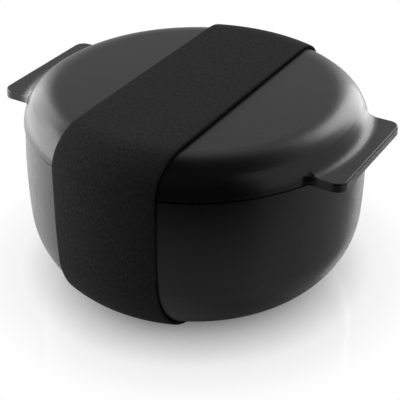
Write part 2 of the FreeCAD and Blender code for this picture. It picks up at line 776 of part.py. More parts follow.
def main():
    doc = FreeCAD.newDocument("lunch_bowl")
    sizes = Sizes(doc)
    doc.recompute()
    bodies = [make(doc, sizes) for make in MAKERS]
    doc.recompute()
    check(doc, bodies)
    os.makedirs("parts", exist_ok=True)
    for body in bodies:
        body.Shape.exportStep(f"parts/{body.Label}.step")
        box = body.Shape.optimalBoundingBox(False)
        print(
            f"{body.Label}: {len(body.Shape.Solids)} solid, {body.Shape.Volume / 1000:.2f} cm3, "
            f"{box.XLength:.1f} by {box.YLength:.1f} by {box.ZLength:.1f} mm"
        )


main()
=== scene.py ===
"""The looks of a round insulated lunch bowl with a lift-off lid and a wide elastic band.

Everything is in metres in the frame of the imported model: +Z is up, the bowl stands on z = 0, the ears of
the lid point along X, and the band runs round the bowl in the YZ plane with its sewn lap at the lower back.
"""

import logging
import math
from dataclasses import dataclass, field
from enum import Enum
from typing import Any, Callable

import bpy
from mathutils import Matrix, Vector

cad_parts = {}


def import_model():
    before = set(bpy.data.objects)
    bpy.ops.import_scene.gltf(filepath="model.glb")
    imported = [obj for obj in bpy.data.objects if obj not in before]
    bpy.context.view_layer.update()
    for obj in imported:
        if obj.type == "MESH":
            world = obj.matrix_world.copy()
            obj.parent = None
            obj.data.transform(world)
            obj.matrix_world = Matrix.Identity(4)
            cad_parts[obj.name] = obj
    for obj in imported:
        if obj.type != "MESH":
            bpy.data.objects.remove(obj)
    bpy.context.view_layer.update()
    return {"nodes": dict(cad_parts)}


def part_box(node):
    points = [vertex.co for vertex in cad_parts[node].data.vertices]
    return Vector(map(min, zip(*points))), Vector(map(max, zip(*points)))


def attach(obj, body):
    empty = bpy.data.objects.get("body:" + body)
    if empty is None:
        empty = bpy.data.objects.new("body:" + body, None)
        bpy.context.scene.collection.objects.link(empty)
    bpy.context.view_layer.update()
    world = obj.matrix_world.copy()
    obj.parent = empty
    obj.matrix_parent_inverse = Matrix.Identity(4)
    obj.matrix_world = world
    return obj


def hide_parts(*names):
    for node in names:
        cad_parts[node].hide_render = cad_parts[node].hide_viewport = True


Piece = bpy.types.Object
Tree = bpy.types.NodeTree
Socket = bpy.types.NodeSocket

LOG = logging.getLogger("lunch_bowl")
MM = 0.001
LID_GAP = 0.05 * MM  # between the steel flange and the lid
TURN_STEPS = 192  # steps of a full turn of a round piece
ARC_STEP = math.radians(3)  # a round stroke turns by this much or less in each of its edges
LEAST_ARC_STEPS = 3
MERGE = 0.002 * MM  # points nearer to each other than this become one
LEVEL = Vector((1, 1, 0))  # times this, a place or a direction loses its height
NOISE_LOW = 0.3  # most values of a noise texture lie between these two
NOISE_HIGH = 0.7


def linear(code: str) -> tuple[float, float, float, float]:
    """Turns an sRGB hex colour into the linear colour that a shader takes.

    Args:
        code: The colour as "#rrggbb".

    Returns:
        Red, green, blue and alpha, from 0 to 1.
    """
    channels = [int(code[i : i + 2], 16) / 255 for i in (1, 3, 5)]
    red, green, blue = (
        channel / 12.92 if channel <= 0.04045 else ((channel + 0.055) / 1.055) ** 2.4 for channel in channels
    )
    return red, green, blue, 1.0


def add_node(
    tree: Tree,
    kind: str,
    inputs: dict[str | int, Any] | None = None,
    output: str | int = 0,
    **settings: Any,
) -> Socket | None:
    """Adds a shader node with its settings, its values and its links.

    Args:
        tree: The node tree that gets the node.
        kind: The node's type name after "ShaderNode", such as "Math".
        inputs: For each socket, by name or number, a value or the output socket that feeds it.
        output: The output socket to give back, by name or number.
        settings: Properties of the node itself.

    Returns:
        The output socket, or None from a node that has none.
    """
    node = tree.nodes.new(f"ShaderNode{kind}")
    for name, value in settings.items():
        setattr(node, name, value)
    for key, value in (inputs or {}).items():
        socket = node.inputs[key]
        if isinstance(value, Socket):
            tree.links.new(value, socket)
        else:
            socket.default_value = value
    return node.outputs[output] if node.outputs else None


def add_mix(tree: Tree, share: Socket, first: Any, second: Any) -> Socket:
    """Adds a mix of two numbers or of two colours.

    Args:
        tree: The node tree.
        share: The share of the second.
        first: A number, a socket, or a colour as "#rrggbb".
        second: A number, or a colour as "#rrggbb".

    Returns:
        The mix's output socket.
    """
    # The node's sockets 2 and 3 take numbers, 6 and 7 take colours, and its output 2 gives a colour.
    if isinstance(second, str):
        return add_node(tree, "Mix", {0: share, 6: linear(first), 7: linear(second)}, 2, data_type="RGBA")
    return add_node(tree, "Mix", {0: share, 2: first, 3: second})


class Ramp(Enum):
    """How a value rises over its range."""

    STRAIGHT = "LINEAR"
    SOFT = "SMOOTHSTEP"


def add_range(
    tree: Tree, value: Socket, low: float, high: float,
    least: float = 0.0, most: float = 1.0, ramp: Ramp = Ramp.STRAIGHT,
) -> Socket:
    """Adds a node that turns values between low and high into ones between least and most."""
    inputs = {"Value": value, "From Min": low, "From Max": high, "To Min": least, "To Max": most}
    return add_node(tree, "MapRange", inputs, interpolation_type=ramp.value)


@dataclass(frozen=True)
class Finish:
    """What a surface is made of and how it was made."""

    name: str

    def material(self) -> bpy.types.Material:
        """Builds the material from its one shader.

        Returns:
            The new material.
        """
        material = bpy.data.materials.new(self.name)
        material.use_nodes = True
        tree = material.node_tree
        tree.nodes.clear()
        add_node(tree, "OutputMaterial", {"Surface": self.shader(tree)})
        return material

    def shader(self, tree: Tree) -> Socket:
        """Adds the nodes of the finish to a tree and gives the shader's socket."""
        raise NotImplementedError


@dataclass(frozen=True)
class MouldedPlastic(Finish):
    """Polypropylene from a spark-eroded mould: an even satin surface with soft-edged highlights."""

    colour: str
    roughness: float = 0.28
    refraction: float = 1.49
    grain: float = 0.45 * MM  # the mould's grain is about 0.1 mm, drawn coarser so that it shows
    grain_height: float = 0.003 * MM
    patch: float = 28 * MM  # size of the faint uneven patches of sheen
    sheen_range: float = 0.03

    def shader(self, tree: Tree) -> Socket:
        """Adds the nodes of the finish.

        Args:
            tree: The material's node tree.

        Returns:
            The shader's socket.
        """
        place = add_node(tree, "TexCoord", output="Object")
        grain = add_node(tree, "TexNoise", {"Vector": place, "Scale": 1 / self.grain, "Detail": 2.0})
        patches = add_node(tree, "TexNoise", {"Vector": place, "Scale": 1 / self.patch, "Detail": 3.0})
        shiniest, dullest = self.roughness - self.sheen_range, self.roughness + self.sheen_range
        return add_node(tree, "BsdfPrincipled", {
            "Base Color": linear(self.colour),
            "Roughness": add_range(tree, patches, NOISE_LOW, NOISE_HIGH, shiniest, dullest),
            "IOR": self.refraction,
            "Normal": add_node(tree, "Bump", {"Height": grain, "Distance": self.grain_height}),
        })


@dataclass(frozen=True)
class SpunSteel(Finish):
    """Drawn stainless steel, brushed while it turned: fine rings that stretch every highlight."""

    colour: str = "#c4c2be"
    roughness: float = 0.27
    line: float = 0.35 * MM  # the scratches are about 0.05 mm apart, drawn coarser so that they show
    line_height: float = 0.0015 * MM
    roughness_range: float = 0.08

    def shader(self, tree: Tree) -> Socket:
        """Adds the nodes of the finish.

        Args:
            tree: The material's node tree.

        Returns:
            The shader's socket.
        """
        place = add_node(tree, "TexCoord", output="Object")
        level_place = add_node(tree, "VectorMath", {0: place, 1: LEVEL}, operation="MULTIPLY")
        radius = add_node(tree, "VectorMath", {0: level_place}, "Value", operation="LENGTH")
        height = add_node(tree, "SeparateXYZ", {"Vector": place}, "Z")
        rings = add_node(tree, "CombineXYZ", {"X": radius, "Z": height})
        lines = add_node(tree, "TexNoise", {"Vector": rings, "Scale": 1 / self.line, "Detail": 3.0})
        shiniest, dullest = self.roughness - self.roughness_range, self.roughness + self.roughness_range
        return add_node(tree, "BsdfPrincipled", {
            "Base Color": linear(self.colour),
            "Metallic": 1.0,
            "Roughness": add_range(tree, lines, 0.0, 1.0, shiniest, dullest),
            "Normal": add_node(tree, "Bump", {"Height": lines, "Distance": self.line_height}),
        })


@dataclass(frozen=True)
class RigidFoam(Finish):
    """Foam poured between two shells: pale, dull, with small closed cells."""

    light: str = "#e6dfca"
    dark: str = "#cfc5a8"
    cell: float = 1.2 * MM  # the cells are about 0.4 mm, drawn coarser so that they show
    cell_depth: float = 0.15 * MM
    roughness: float = 0.9

    def shader(self, tree: Tree) -> Socket:
        """Adds the nodes of the finish.

        Args:
            tree: The material's node tree.

        Returns:
            The shader's socket.
        """
        place = add_node(tree, "TexCoord", output="Object")
        cells = add_node(tree, "TexVoronoi", {"Vector": place, "Scale": 1 / self.cell}, "Distance")
        return add_node(tree, "BsdfPrincipled", {
            "Base Color": add_mix(tree, cells, self.light, self.dark),
            "Roughness": self.roughness,
            "Normal": add_node(tree, "Bump", {"Height": cells, "Distance": self.cell_depth}),
        })


@dataclass(frozen=True)
class SoftSilicone(Finish):
    """Compression-moulded silicone rubber: grey, slightly dusty, with a dull waxy shine."""

    colour: str = "#6a6a69"
    dust: str = "#787876"
    roughness: float = 0.5
    refraction: float = 1.41
    speck: float = 2.5 * MM

    def shader(self, tree: Tree) -> Socket:
        """Adds the nodes of the finish.

        Args:
            tree: The material's node tree.

        Returns:
            The shader's socket.
        """
        place = add_node(tree, "TexCoord", output="Object")
        specks = add_node(tree, "TexNoise", {"Vector": place, "Scale": 1 / self.speck, "Detail": 4.0})
        colour = add_mix(tree, specks, self.colour, self.dust)
        return add_node(tree, "BsdfPrincipled", {
            "Base Color": colour, "Roughness": self.roughness, "IOR": self.refraction,
        })


@dataclass(frozen=True)
class WovenElastic(Finish):
    """Elastic webbing of polyester yarn: a fine plain weave, matt, with a heathered black."""

    dark: str = "#101011"
    light: str = "#2e2e2f"
    yarn: float = 1.1 * MM  # the yarns are about 0.5 mm apart, drawn coarser so that they show
    pick: float = 1.1 * MM
    relief: float = 0.014 * MM
    fleck: float = 0.9 * MM  # size of the paler flecks of the heathered yarn
    fleck_stretch: float = 2.2  # how much longer a fleck is along the webbing
    roughness: float = 0.85
    shine: float = 0.15

    def shader(self, tree: Tree) -> Socket:
        """Adds the nodes of the finish, on a UV map that holds metres across and along the webbing.

        Args:
            tree: The material's node tree.

        Returns:
            The shader's socket.
        """
        place = add_node(tree, "UVMap", uv_map=Band.CLOTH_MAP)
        across = self.wave(tree, add_node(tree, "SeparateXYZ", {"Vector": place}, "X"), self.yarn)
        along = self.wave(tree, add_node(tree, "SeparateXYZ", {"Vector": place}, "Y"), self.pick)
        weave = add_node(tree, "Math", {0: across, 1: along}, operation="MULTIPLY")
        height = add_node(tree, "Math", {0: weave}, operation="ABSOLUTE")
        flecks_per_metre = (1 / self.fleck, 1 / (self.fleck * self.fleck_stretch), 1.0)
        scaled = add_node(tree, "VectorMath", {0: place, 1: flecks_per_metre}, operation="MULTIPLY")
        noise = {"Vector": scaled, "Scale": 1.0, "Detail": 4.0, "Roughness": 0.7}
        flecks = add_range(tree, add_node(tree, "TexNoise", noise), NOISE_LOW, NOISE_HIGH)
        return add_node(tree, "BsdfPrincipled", {
            "Base Color": add_mix(tree, flecks, self.dark, self.light),
            "Roughness": self.roughness,
            "Specular IOR Level": self.shine,
            "Normal": add_node(tree, "Bump", {"Height": height, "Distance": self.relief}),
        })

    @staticmethod
    def wave(tree: Tree, run: Socket, pitch: float) -> Socket:
        """Adds a sine wave along a distance in metres, with one crest or trough for each yarn."""
        turns = add_node(tree, "Math", {0: run, 1: math.pi / pitch}, operation="MULTIPLY")
        return add_node(tree, "Math", {0: turns}, operation="SINE")


@dataclass(frozen=True)
class SewingThread(Finish):
    """Twisted polyester thread: black with a faint silky twist."""

    colour: str = "#2a2a2b"
    twist: float = 0.5 * MM
    twist_height: float = 0.05 * MM
    roughness: float = 0.5
    sheen: float = 0.1

    def shader(self, tree: Tree) -> Socket:
        """Adds the nodes of the finish.

        Args:
            tree: The material's node tree.

        Returns:
            The shader's socket.
        """
        place = add_node(tree, "TexCoord", output="Object")
        inputs = {"Vector": place, "Scale": 1 / self.twist, "Distortion": 1.0}
        twist = add_node(tree, "TexWave", inputs, "Fac", bands_direction="DIAGONAL")
        return add_node(tree, "BsdfPrincipled", {
            "Base Color": linear(self.colour),
            "Roughness": self.roughness,
            "Sheen Weight": self.sheen,
            "Normal": add_node(tree, "Bump", {"Height": twist, "Distance": self.twist_height}),
        })


def deselect_everything() -> None:
    """Leaves edit mode and selects no object."""
    if bpy.context.object is not None and bpy.context.object.mode != "OBJECT":
        bpy.ops.object.mode_set(mode="OBJECT")
    bpy.ops.object.select_all(action="DESELECT")


def make_active(piece: Piece) -> None:
    """Selects one piece alone and makes it the one that operators act on.

    Args:
        piece: The piece.
    """
    deselect_everything()
    piece.select_set(True)
    bpy.context.view_layer.objects.active = piece


def dress(piece: Piece, material: bpy.types.Material) -> None:
    """Gives a piece one material in place of those that it has, and reports it.

    Args:
        piece: The piece.
        material: Its finish.
    """
    if not piece.material_slots:
        piece.data.materials.append(material)
    for slot in piece.material_slots:
        slot.material = material
    LOG.info("%s: %d faces in %s", piece.name, len(piece.data.polygons), material.name)


def copy_of(piece: Piece) -> Piece:
    """Copies a piece with its mesh and puts the copy in the scene.

    Args:
        piece: The piece.

    Returns:
        The copy.
    """
    copy = piece.copy()
    copy.data = piece.data.copy()
    bpy.context.collection.objects.link(copy)
    return copy


def join(pieces: list[Piece]) -> Piece:
    """Joins pieces into one.

    Args:
        pieces: The pieces.

    Returns:
        The first of them, which now holds the meshes of all.
    """
    make_active(pieces[0])
    for piece in pieces[1:]:
        piece.select_set(True)
    bpy.ops.object.join()
    return pieces[0]


def smooth(piece: Piece, angle: float = math.radians(35)) -> None:
    """Shades a piece smooth, with the edges sharper than an angle left crisp."""
    make_active(piece)
    bpy.ops.object.shade_smooth_by_angle(angle=angle)


class Pen:
    """Draws a run of edges in the XZ plane, stroke after stroke, and turns it about the upright axis.

    Across is the distance from the upright axis and up is the height.
    """

    def __init__(self, name: str, across: float, up: float) -> None:
        """Starts a mesh that is one point.

        Args:
            name: The piece's name.
            across: Where the run starts.
            up: The height at which it starts.
        """
        deselect_everything()
        bpy.ops.mesh.primitive_plane_add(size=MM, location=(across, 0, up))
        self.piece = bpy.context.object
        self.piece.name = name
        self.across = across
        self.up = up
        bpy.ops.object.mode_set(mode="EDIT")
        bpy.ops.mesh.select_all(action="SELECT")
        bpy.ops.mesh.merge(type="CENTER")

    def line(self, across: float, up: float, cuts: int = 1) -> None:
        """Draws a straight stroke.

        Args:
            across: Where it ends.
            up: The height at which it ends.
            cuts: The number of equal edges in it.
        """
        step = ((across - self.across) / cuts, 0, (up - self.up) / cuts)
        for _ in range(cuts):
            bpy.ops.mesh.extrude_region_move(TRANSFORM_OT_translate={"value": step})
        self.across, self.up = across, up

    def arc(self, across: float, up: float, angle: float) -> None:
        """Draws a round stroke.

        Args:
            across: Where its centre is.
            up: The height of its centre.
            angle: How far it turns, counter-clockwise seen from the front.
        """
        steps = max(LEAST_ARC_STEPS, math.ceil(abs(angle) / ARC_STEP))
        bpy.ops.mesh.spin(steps=steps, angle=angle, center=(across, 0, up), axis=(0, 1, 0))
        side, rise = self.across - across, self.up - up
        self.across = across + side * math.cos(angle) - rise * math.sin(angle)
        self.up = up + side * math.sin(angle) + rise * math.cos(angle)

    def corners(self, *places: tuple[float, float, float]) -> None:
        """Draws straight strokes to each place in turn, with its corner rounded.

        Args:
            places: Across, up and radius of each corner; a radius of 0 is a sharp corner or the end.
        """
        for i, (across, up, radius) in enumerate(places):
            if radius == 0:
                self.line(across, up)
                continue
            before = Vector((across - self.across, up - self.up)).normalized()
            after = Vector((places[i + 1][0] - across, places[i + 1][1] - up)).normalized()
            turn = math.atan2(before.x * after.y - before.y * after.x, before.dot(after))
            inset = radius * math.tan(abs(turn) / 2)
            start = Vector((across, up)) - before * inset
            inwards = Vector((-before.y, before.x)) * math.copysign(radius, turn)
            self.line(start.x, start.y)
            self.arc(start.x + inwards.x, start.y + inwards.y, turn)

    def turned(self) -> Piece:
        """Turns the run through a full circle about the upright axis and closes the mesh.

        Returns:
            The piece, at the origin, shaded smooth.
        """
        bpy.ops.mesh.select_all(action="SELECT")
        bpy.ops.mesh.spin(steps=TURN_STEPS, angle=2 * math.pi, center=(0, 0, 0), axis=(0, 0, 1))
        bpy.ops.mesh.select_all(action="SELECT")
        bpy.ops.mesh.remove_doubles(threshold=MERGE)
        bpy.ops.mesh.normals_make_consistent(inside=False)
        bpy.ops.object.mode_set(mode="OBJECT")
        bpy.ops.object.transform_apply(location=True, rotation=True, scale=True)
        smooth(self.piece)
        return self.piece


@dataclass
class Section:
    """The outlines of the bowl and of the lid, as arcs that run into each other."""

    bowl_radius: float
    rim_height: float
    lid_edge: float
    lid_top: float
    side_arc: float = 324 * MM
    side_fall: float = 17.63 * MM
    haunch_arc: float = 36.4 * MM
    haunch_fall: float = 23.06 * MM
    keel_arc: float = 29.2 * MM
    foot_height: float = 2.6 * MM
    lid_overhang: float = 0.6 * MM
    shoulder_arc: float = 12.8 * MM
    shoulder_drop: float = 0.7 * MM
    crown_arc: float = 19.8 * MM
    base_edges: int = 12  # edges from the axis to where the underside starts to curve
    side_parts: int = 4  # the long arcs of the side are drawn in so many parts, for evenly spaced edges

    def __post_init__(self) -> None:
        """Works out where the arcs have their centres and where they meet."""
        self.side_turn = math.asin(self.side_fall / self.side_arc)
        self.keel_turn = math.asin(self.side_fall / self.side_arc + self.haunch_fall / self.haunch_arc)
        keel_fall = self.keel_arc * (1 - math.sin(self.keel_turn))
        self.widest_height = self.foot_height + keel_fall + self.haunch_fall + self.side_fall
        self.side_across = self.bowl_radius - self.side_arc
        reach = self.side_arc - self.haunch_arc
        self.haunch_across = self.side_across + reach * math.cos(self.side_turn)
        self.haunch_up = self.widest_height - reach * math.sin(self.side_turn)
        reach = self.haunch_arc - self.keel_arc
        self.base_radius = self.haunch_across + reach * math.cos(self.keel_turn)
        self.keel_up = self.foot_height + self.keel_arc
        rim_rise = self.rim_height - self.widest_height
        rim_radius = self.side_across + math.sqrt(self.side_arc**2 - rim_rise**2)
        self.lid_radius = rim_radius + self.lid_overhang
        self.shoulder_across = self.lid_radius - self.shoulder_arc
        self.shoulder_up = self.lid_edge - self.shoulder_drop
        self.crown_up = self.lid_top - self.crown_arc
        reach = self.crown_arc - self.shoulder_arc
        self.crown_turn = math.asin((self.shoulder_up - self.crown_up) / reach)
        self.crown_across = self.shoulder_across - reach * math.cos(self.crown_turn)

    def draw_bowl(self, pen: Pen, wall: float, top: float, down: bool = False) -> None:
        """Draws the underside and the side of the bowl, between the axis and a height.

        Args:
            pen: The pen, on the axis, or on the side where the run goes down.
            wall: How far inside the outer face the run is.
            top: The height of its upper end.
            down: Whether it goes down to the axis.
        """
        rise = math.asin((top - self.widest_height) / (self.side_arc - wall))
        arcs = [
            (self.base_radius, self.keel_up, math.pi / 2 - self.keel_turn),
            (self.haunch_across, self.haunch_up, self.keel_turn - self.side_turn),
        ]
        for turn in (self.side_turn, rise):
            arcs += [(self.side_across, self.widest_height, turn / self.side_parts)] * self.side_parts
        if down:
            for across, up, turn in reversed(arcs):
                pen.arc(across, up, -turn)
            pen.line(0, self.foot_height + wall, cuts=self.base_edges)
        else:
            pen.line(self.base_radius, self.foot_height + wall, cuts=self.base_edges)
            for arc in arcs:
                pen.arc(*arc)


@dataclass
class Bowl:
    """The double-walled bowl: a moulded shell with its feet, the steel bowl in it, and what lies between."""

    section: Section
    nodes: dict[str, Piece]
    wall: float = 2.4 * MM
    rim_round: float = 0.3 * MM
    foot_inset: float = 0.9 * MM
    foot_width: float = 6.5 * MM
    foot_round: float = 0.6 * MM
    foot_sunk: float = 0.4 * MM
    passage_width: float = 56 * MM
    steel_wall: float = 0.6 * MM
    mouth_radius: float = 69.01 * MM
    floor_arc: float = 33 * MM
    mouth_arc: float = 1.5 * MM
    plastic: MouldedPlastic = MouldedPlastic("satin_black_bowl_plastic", "#0f0f10")
    steel: SpunSteel = SpunSteel("spun_stainless_steel")
    foam: RigidFoam = RigidFoam("poured_bowl_foam")

    def build(self) -> None:
        """Builds and dresses every piece of the bowl."""
        plastic = self.plastic.material()
        dress(self.make_shell(), plastic)
        dress(self.nodes["rim_ring"], plastic)
        dress(self.nodes["bowl_insulation"], self.foam.material())
        dress(self.make_steel_bowl(), self.steel.material())

    def make_shell(self) -> Piece:
        """Makes the moulded shell with its two feet.

        Returns:
            The piece, riding on the bowl.
        """
        section = self.section
        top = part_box("outer_bowl")[1].z
        pen = Pen("bowl_shell", 0, section.foot_height)
        round_up = top - self.rim_round
        inner_arc = section.side_arc - self.rim_round
        round_turn = math.asin((round_up - section.widest_height) / inner_arc)
        round_across = section.side_across + inner_arc * math.cos(round_turn)
        edge_up = round_up + self.rim_round * math.sin(round_turn)
        section.draw_bowl(pen, 0, edge_up)
        pen.arc(round_across, round_up, math.pi / 2 - round_turn)
        inner = section.side_arc - self.wall
        rim_in = section.side_across + math.sqrt(inner**2 - (top - section.widest_height) ** 2)
        pen.line(rim_in, top)
        section.draw_bowl(pen, self.wall, top, down=True)
        shell = join([pen.turned(), self.make_feet()])
        smooth(shell)
        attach(shell, "bowl")
        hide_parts("outer_bowl")
        return shell

    def make_feet(self) -> Piece:
        """Makes the two curved feet by cutting the band's passage out of one ring.

        Returns:
            The feet as one mesh.
        """
        outer = self.section.base_radius - self.foot_inset
        inner = outer - self.foot_width
        top = self.section.foot_height + self.foot_sunk
        pen = Pen("feet", inner, top)
        pen.corners(
            (inner, 0, self.foot_round),
            (outer, 0, self.foot_round),
            (outer, top, 0),
            (inner, top, 0),
        )
        feet = pen.turned()
        halves = [copy_of(feet), copy_of(feet)]
        for side, half in zip((-1, 1), halves):
            make_active(half)
            bpy.ops.object.mode_set(mode="EDIT")
            bpy.ops.mesh.select_all(action="SELECT")
            bpy.ops.mesh.bisect(
                plane_co=(side * self.passage_width / 2, 0, 0),
                plane_no=(side, 0, 0),
                use_fill=True,
                clear_inner=True,
            )
            bpy.ops.object.mode_set(mode="OBJECT")
        bpy.data.objects.remove(feet)
        return join(halves)

    def make_steel_bowl(self) -> Piece:
        """Makes the drawn steel bowl with its level flange.

        Returns:
            The piece, riding on the bowl.
        """
        low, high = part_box("inner_bowl")
        outside = self.mouth_radius + self.steel_wall
        flange_low = high.z - self.steel_wall
        edge = self.steel_wall / 3
        pen = Pen("steel_bowl", 0, low.z)
        pen.corners(
            (outside, low.z, self.floor_arc + self.steel_wall),
            (outside, flange_low, self.mouth_arc),
            (high.x, flange_low, edge),
            (high.x, high.z, edge),
            (self.mouth_radius, high.z, self.mouth_arc + self.steel_wall),
            (self.mouth_radius, low.z + self.steel_wall, self.floor_arc),
            (0, low.z + self.steel_wall, 0),
        )
        steel = pen.turned()
        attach(steel, "bowl")
        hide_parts("inner_bowl")
        return steel


@dataclass
class Lid:
    """The lid: a moulded shell with two ears, the liner under it, and the seal round the liner's plug."""

    section: Section
    nodes: dict[str, Piece]
    plug_wall: float = 3 * MM
    plug_round: float = 1 * MM
    liner_wall: float = 1.8 * MM
    liner_round: float = 0.3 * MM
    groove_height: float = 4 * MM
    groove_depth: float = 1.6 * MM
    groove_drop: float = 2 * MM
    plug_radius: float = 67.21 * MM
    seal_lip: float = 0.9 * MM
    seal_core: float = 0.3 * MM
    seal_gap: float = 0.1 * MM
    plastic: MouldedPlastic = MouldedPlastic("satin_black_lid_plastic", "#0f0f10")
    liner_plastic: MouldedPlastic = MouldedPlastic("smooth_black_liner_plastic", "#202021", roughness=0.3)
    foam: RigidFoam = RigidFoam("poured_lid_foam")
    silicone: SoftSilicone = SoftSilicone("grey_silicone")

    def build(self) -> None:
        """Builds and dresses every piece of the lid."""
        dress(self.nodes["lid_shell"], self.plastic.material())
        dress(self.make_liner(), self.liner_plastic.material())
        dress(self.make_seal(), self.silicone.material())
        dress(self.nodes["lid_insulation"], self.foam.material())

    def make_liner(self) -> Piece:
        """Makes the liner with its plug and the groove for the seal.

        Returns:
            The piece, riding on the lid.
        """
        low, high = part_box("lid_liner")
        edge = self.section.lid_edge
        groove_top = edge - self.groove_drop
        groove_low = groove_top - self.groove_height
        groove_radius = self.plug_radius - self.groove_depth
        inside = self.plug_radius - self.plug_wall
        soft = self.liner_round
        pen = Pen("lid_lining", 0, low.z)
        pen.corners(
            (self.plug_radius, low.z, self.plug_round),
            (self.plug_radius, groove_low, soft / 2),
            (groove_radius, groove_low, soft),
            (groove_radius, groove_top, soft),
            (self.plug_radius, groove_top, soft / 2),
            (self.plug_radius, edge, soft),
            (high.x, edge, soft),
            (high.x, high.z, soft),
            (inside, high.z, soft),
            (inside, low.z + self.liner_wall, soft),
            (0, low.z + self.liner_wall, 0),
        )
        liner = pen.turned()
        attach(liner, "lid")
        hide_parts("lid_liner")
        return liner

    def make_seal(self) -> Piece:
        """Makes the silicone ring with its two lips.

        Returns:
            The piece, riding on the lid.
        """
        low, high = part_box("lid_seal")
        back = self.plug_radius - self.groove_depth + self.seal_gap
        core = self.plug_radius + self.seal_core
        soft = self.seal_lip / 3
        pen = Pen("seal_ring", back, low.z)
        pen.corners(
            (high.x, low.z, soft),
            (high.x, low.z + self.seal_lip, soft),
            (core, low.z + self.seal_lip, soft),
            (core, high.z - self.seal_lip, soft),
            (high.x, high.z - self.seal_lip, soft),
            (high.x, high.z, soft),
            (back, high.z, 0),
            (back, low.z, 0),
        )
        seal = pen.turned()
        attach(seal, "lid")
        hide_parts("lid_seal")
        return seal


# Distance along a stroke in; across, up and the two parts of the outward normal out.
Stroke = Callable[[float], tuple[float, float, float, float]]


